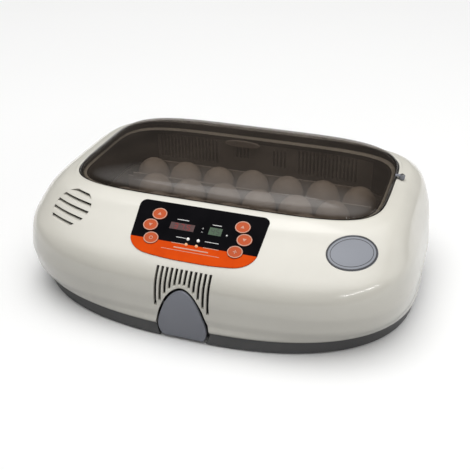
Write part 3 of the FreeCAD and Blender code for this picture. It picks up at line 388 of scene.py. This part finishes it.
def dome_ring(turn, inset):
    """One outline of the dome; turn runs from 0 at the rim to 90 degrees at the top."""
    inward = math.cos(turn)
    side = (GLASS_HALF - inset) * inward ** 0.7
    front = GLASS_FRONT + inset + (FRONT_LEAN - inset) * (1 - inward ** 0.95)
    rear = GLASS_REAR - inset - (REAR_LEAN - inset) * (1 - inward ** 0.6)
    return glass_outline(side, front, rear, GLASS_SEAT + (DOME_RISE - inset) * math.sin(turn) ** 0.77)


def window(shape):
    """A closed shell: up the outside of the dome, down its inside and across the rim."""
    steps = 44
    turns = [math.radians(89.4) * (index / steps) ** 1.15 for index in range(steps + 1)]
    inside = [dome_ring(turn, GLASS_THICK) for turn in reversed(turns)]
    skin(shape, inside + [dome_ring(turn, 0) for turn in turns])


dome = piece("window_dome", window, GLASS, "cover", 40)
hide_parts("window")


def window_edge(shape):
    """The dark rubber bead where the dome meets its gasket, partly standing in as painted shade for the gap
    around the rim; it climbs the dome's flank towards the rear.
    """
    bands = ((0.1, 0), (-0.2, 0.2), (0.1, 0.7), (0.9, 0.96), (1.4, 1), (2.4, 0.7), (2.6, 0))
    rings = []
    for inset, share in bands:
        ring = glass_outline(GLASS_HALF - inset, GLASS_FRONT + inset, GLASS_REAR - inset, GLASS_SEAT + 0.1)
        for point in ring:
            rear = min(1, max(0, (point.y / MM - GLASS_FRONT) / (GLASS_REAR - GLASS_FRONT)))
            point.z += share * (BEAD_RISE + BEAD_CLIMB * rear) * MM
        rings.append(ring)
    skin(shape, rings, closed=True)


# Partly painted shade: this black bead is a rubber edge and also stands in for the shaded gap around the
# window's rim.
piece("window_edge_bead", window_edge, RUBBER, "cover", 40)


# ---------------------------------------------------------------- eggs

EGG_PITCH = 45
ROW_PITCH = 44
RACK_MIDDLE = 45
RACK_FLOOR = 31.5
EGG_LONG = 57
EGG_WIDE = 42
EGG_TAPER = 0.13
EGG_LEAN = 0.03


def egg_shape(shape):
    """An egg standing on its small end, turned from a profile that is fuller at the top."""
    rings = []
    steps, around = 28, 40
    for step in range(1, steps):
        angle = math.pi * step / steps
        height = -math.cos(angle) * EGG_LONG / 2
        radius = EGG_WIDE / 2 * math.sin(angle) * (1 - EGG_TAPER * math.cos(angle))
        turns = [2 * math.pi * index / around for index in range(around)]
        rings.append([Vector((radius * math.cos(turn), radius * math.sin(turn), height)) * MM
                      for turn in turns])
    skin(shape, rings)


shells = [eggshell(number) for number in range(4)]
number = 0
for row, count in ((-1, 7), (0, 6), (1, 7)):
    for index in range(count):
        number += 1
        egg = piece("egg_%d" % number, egg_shape, shells[number % len(shells)], "egg_rack")
        size = random.uniform(0.96, 1.0)
        middle = Vector(((index - (count - 1) / 2) * EGG_PITCH, RACK_MIDDLE + row * ROW_PITCH,
                         RACK_FLOOR + EGG_LONG * size / 2)) * MM
        lean = Matrix.Rotation(random.uniform(-EGG_LEAN, EGG_LEAN), 4, "X")
        egg.matrix_world = Matrix.Translation(middle) @ lean @ Matrix.Scale(size, 4)


# ---------------------------------------------------------------- control panel details

BUTTONS = [(-46.4, 11.3), (-52.2, -3), (-46.4, -18), (46.4, 11.3), (52.2, -3), (46.4, -18)]
BUTTON_TOP = 1.2
BUTTON_WIDE, BUTTON_HIGH = 8.2, 6.9
PRINT = 0.12
LAMPS = [(-6.5, -12.5), (4.8, -12.5), (-6.5, -19), (4.8, -19)]
TEMPERATURE_AT = (-17.6, 0.8)
HUMIDITY_AT = (19.2, 1.4)
DISPLAY_TOP = 0.1
PRINT_LOW, PRINT_HIGH = PANEL_FACE - 0.1, PANEL_FACE + 0.06


def button_mark(shape, number, x, y):
    """A plain raised sign on each button: arrows, bars, a cross and a ring."""
    low, high = BUTTON_TOP - 0.1, BUTTON_TOP + PRINT
    if number in (1, 4):
        deck_slab(shape, [(x - 2.2, y - 1.4), (x + 2.2, y - 1.4), (x, y + 1.8)], low, high)
    elif number in (2, 5):
        deck_slab(shape, [(x - 2.2, y + 1.4), (x, y - 1.8), (x + 2.2, y + 1.4)], low, high)
    elif number == 3:
        deck_ring(shape, x, y, 2.2, 2.0, 0.7, low, high)
    else:
        deck_slab(shape, bar_points(x, y, 4.4, 0.8), low, high)
        deck_slab(shape, bar_points(x, y + 1.3, 0.8, 1.6), low, high)
        deck_slab(shape, bar_points(x, y - 1.3, 0.8, 1.6), low, high)


for number, (x, y) in enumerate(BUTTONS, 1):
    def rim(shape, x=x, y=y):
        deck_ring(shape, x, y, BUTTON_WIDE - 0.05, BUTTON_HIGH - 0.05, 1.0,
                  BUTTON_TOP - 0.2, BUTTON_TOP + PRINT)

    def mark(shape, number=number, x=x, y=y):
        button_mark(shape, number, x, y)

    piece("button_%d_rim" % number, rim, PALE_PRINT, "button_%d" % number, 30)
    piece("button_%d_mark" % number, mark, PALE_PRINT, "button_%d" % number, 30)


def lamp_cap(number):
    x, y = LAMPS[number]

    def build(shape):
        """A clear round cap over the lamp, domed on top."""
        profile = ((1.62, 0.1), (1.62, 0.8), (1.5, 1.3), (1.1, 1.8), (0.5, 2.15), (0.1, 2.2))
        skin(shape, [[deck(a, b, level) for a, b in oval_points(x, y, radius, radius, 24)]
                     for radius, level in profile])
    return build


for number in range(len(LAMPS)):
    piece("lamp_cap_%d" % (number + 1), lamp_cap(number), WHITE_LAMP if number < 2 else AMBER_LAMP, "cover",
          50)

SEGMENTS = {"0": "abcdef", "3": "abcdg", "4": "bcfg", "5": "acdfg", "7": "abc", "8": "abcdefg"}


def segment_outline(x, y, length, width, upright):
    """A pointed bar, the way one stroke of a seven-segment digit looks."""
    half, thick = length / 2, width / 2
    outline = [(-half, 0), (-half + thick, -thick), (half - thick, -thick), (half, 0), (half - thick, thick),
               (-half + thick, thick)]
    if upright:
        outline = [(-b, a) for a, b in outline]
    return [(x + a, y + b) for a, b in outline]


def digits(figures, x, y, wide, high, pitch, point_after=None):
    """Seven-segment figures on a display, each a set of thin pointed bars."""
    stroke = 0.16 * high
    low, top = DISPLAY_TOP - 0.03, DISPLAY_TOP + 0.06
    places = {"a": (0, 1, False), "g": (0, 0, False), "d": (0, -1, False), "f": (-1, 0.5, True),
              "b": (1, 0.5, True), "e": (-1, -0.5, True), "c": (1, -0.5, True)}

    def build(shape):
        for index, figure in enumerate(figures):
            left = x + (index - (len(figures) - 1) / 2) * pitch
            for letter in SEGMENTS[figure]:
                side, level, upright = places[letter]
                outline = segment_outline(left + side * wide / 2, y + level * high / 2,
                                          (high / 2 if upright else wide) * 0.9, stroke, upright)
                deck_slab(shape, outline, low, top)
        if point_after is not None:
            dot_x = x + (point_after + 0.5 - (len(figures) - 1) / 2) * pitch
            deck_slab(shape, oval_points(dot_x, y - high / 2, 0.5, 0.5, 12), low, top)
    return build


piece("temperature_digits", digits("375", *TEMPERATURE_AT, 3.6, 5.6, 7.0, 1), RED_DIGIT, "cover",
      30)
piece("humidity_digits", digits("45", *HUMIDITY_AT, 3.2, 5.8, 5.6), DARK_DIGIT, "cover",
      30)


def printed_bars(shape, bars):
    """Thin bars on the film, each given by its middle, length and width."""
    for x, y, length, width in bars:
        deck_slab(shape, bar_points(x, y, length, width), PRINT_LOW, PRINT_HIGH)


def panel_marks(shape):
    """Plain printed rules: a short bar above each display and beside the lamps, and unit signs."""
    printed_bars(shape, [(TEMPERATURE_AT[0] - 1, 8.6, 13, 0.8), (HUMIDITY_AT[0], 8.6, 10, 0.8),
                         (-14.5, -12.0, 11, 0.7), (19.5, -12.0, 15, 0.7)])
    deck_ring(shape, 5.2, 2.6, 0.9, 0.9, 0.35, PRINT_LOW, PRINT_HIGH)
    printed_bars(shape, [(5.4, -1.6, 1.6, 0.5), (32.4, -1.0, 1.7, 1.5)])


def orange_marks(shape):
    """Two short bars beside the lower lamps and two long ones across the orange band."""
    printed_bars(shape, [(-15.5, -19.0, 15, 0.7), (20.5, -19.0, 17, 0.7), (0, -23.8, 38, 1.3),
                         (0, -27.0, 64, 0.6)])


piece("panel_white_print", panel_marks, WHITE_PRINT, "cover", 30)
piece("panel_pale_print", orange_marks, PALE_PRINT, "cover", 30)


# ---------------------------------------------------------------- badge rings, laid on its curved face

def surface_of(name):
    mesh = nodes[name].data
    return BVHTree.FromPolygons([v.co for v in mesh.vertices], [p.vertices for p in mesh.polygons])


BADGE_TURN = math.radians(28)
BADGE_WIDE, BADGE_HIGH = 26, 19.3
RAY_START = 0.04


def badge_band(inset, width, sunk, proud):
    """An oval band around the badge, with each point found on the badge's own face."""
    low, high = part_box("oval_badge")
    top_of = surface_of("oval_badge")
    centre = (low + high) / 2
    normal = top_of.find_nearest(centre + Vector((0.2, -0.4, 0.8)) * 0.03)[1]
    if normal.z < 0:
        normal.negate()
    level = Vector((math.cos(BADGE_TURN), math.sin(BADGE_TURN), 0))
    across = (level - normal * normal.dot(level)).normalized()
    deep = normal.cross(across)

    def face_point(share, turn, lift):
        reach_x = (BADGE_WIDE - share) * math.cos(turn) * MM
        reach_y = (BADGE_HIGH - share) * math.sin(turn) * MM
        above = centre + across * reach_x + deep * reach_y + normal * RAY_START
        place = top_of.ray_cast(above, -normal)[0]
        if place is None:
            place = top_of.find_nearest(above - normal * RAY_START)[0]
        return place + normal * lift * MM

    def build(shape):
        bands = ((0, -sunk), (0, proud * 0.7), (0.3, proud), (0.7, proud), (1, proud * 0.7), (1, -sunk))
        turns = [2 * math.pi * index / 96 for index in range(96)]
        skin(shape, [[face_point(inset + share * width, turn, lift) for turn in turns]
                     for share, lift in bands], closed=True)
    return build


piece("badge_outline", badge_band(0.1, 1.7, 1.2, 0.25), DARK_LINE, "cover", 40)
piece("badge_inner_line", badge_band(4.0, 0.6, 0.2, 0.12), DARK_LINE, "cover", 40)


# ---------------------------------------------------------------- stage, light and camera

FLOOR_REACH = 8
FLOOR_BOUNCE = (0.38, 0.38, 0.38)
CAMERA_AT = (0.2698, -0.726, 0.508)
CAMERA_TURN = (19.84, 30.76, -0.94)
LENS = 58.93


def stage_floor():
    """A wide pale floor; it looks near-white but throws only a little light back at the object."""
    mesh = bpy.data.meshes.new("floor")
    shape = bmesh.new()
    bmesh.ops.create_grid(shape, x_segments=1, y_segments=1, size=FLOOR_REACH)
    shape.to_mesh(mesh)
    shape.free()
    material, tree, shader = new_material("floor")
    seen = mix_colours(tree, noise(tree, 2), (0.96, 0.96, 0.955), (0.98, 0.98, 0.975))
    path = add(tree, "ShaderNodeLightPath")
    looked_at = add(tree, "ShaderNodeMath", operation="MAXIMUM")
    tree.links.new(path.outputs["Is Camera Ray"], looked_at.inputs[0])
    tree.links.new(path.outputs["Is Glossy Ray"], looked_at.inputs[1])
    tree.links.new(mix_colours(tree, looked_at.outputs["Value"], FLOOR_BOUNCE, seen),
                   shader.inputs["Base Color"])
    shader.inputs["Roughness"].default_value = 0.9
    mesh.materials.append(material)
    item = bpy.data.objects.new("floor", mesh)
    bpy.context.scene.collection.objects.link(item)


def area_light(name, place, target, size, power):
    light = bpy.data.lights.new(name, "AREA")
    light.shape = "RECTANGLE"
    light.size, light.size_y = size
    light.energy = power
    item = bpy.data.objects.new(name, light)
    item.location = place
    item.rotation_euler = (Vector(target) - Vector(place)).to_track_quat("-Z", "Y").to_euler()
    bpy.context.scene.collection.objects.link(item)


def sky():
    """A soft overhead dome of light, dim near the horizon; the camera itself sees plain white."""
    world = bpy.data.worlds.new("studio")
    world.use_nodes = True
    tree = world.node_tree
    background = tree.nodes["Background"]
    height = add(tree, "ShaderNodeSeparateXYZ")
    tree.links.new(add(tree, "ShaderNodeTexCoord").outputs["Generated"], height.inputs["Vector"])
    strength = add(tree, "ShaderNodeMath", operation="MAXIMUM")
    tree.links.new(spread(tree, height.outputs["Z"], 0.06, 2.45, 0.6, 1), strength.inputs[0])
    tree.links.new(add(tree, "ShaderNodeLightPath").outputs["Is Camera Ray"], strength.inputs[1])
    tree.links.new(strength.outputs["Value"], background.inputs["Strength"])
    background.inputs["Color"].default_value = (1, 1, 1, 1)
    bpy.context.scene.world = world


def camera():
    """The view from the front, a little right of the middle and above."""
    azimuth, elevation, roll = (math.radians(angle) for angle in CAMERA_TURN)
    back = Vector((math.sin(azimuth) * math.cos(elevation), -math.cos(azimuth) * math.cos(elevation),
                   math.sin(elevation)))
    right = Vector((math.cos(azimuth), math.sin(azimuth), 0))
    up = back.cross(right)
    rolled_right = right * math.cos(roll) + up * math.sin(roll)
    rolled_up = up * math.cos(roll) - right * math.sin(roll)
    data = bpy.data.cameras.new("camera")
    data.sensor_width = 36
    data.lens = LENS
    item = bpy.data.objects.new("camera", data)
    rotation = Matrix((rolled_right, rolled_up, back)).transposed()
    item.matrix_world = Matrix.Translation(CAMERA_AT) @ rotation.to_4x4()
    bpy.context.scene.collection.objects.link(item)
    bpy.context.scene.camera = item


stage_floor()
sky()
area_light("right_strip", (0.95, -0.75, 0.62), (0.15, -0.1, 0.08), (0.9, 0.04), 1.8)
area_light("right_fill", (1.3, 0.3, 0.5), (0.2, 0.05, 0.08), (0.8, 0.8), 1.2)
area_light("top_key", (-0.3, 0.3, 1.6), (0, 0, 0.1), (0.9, 0.6), 3.2)
camera()
bpy.context.scene.view_settings.view_transform = "Standard"
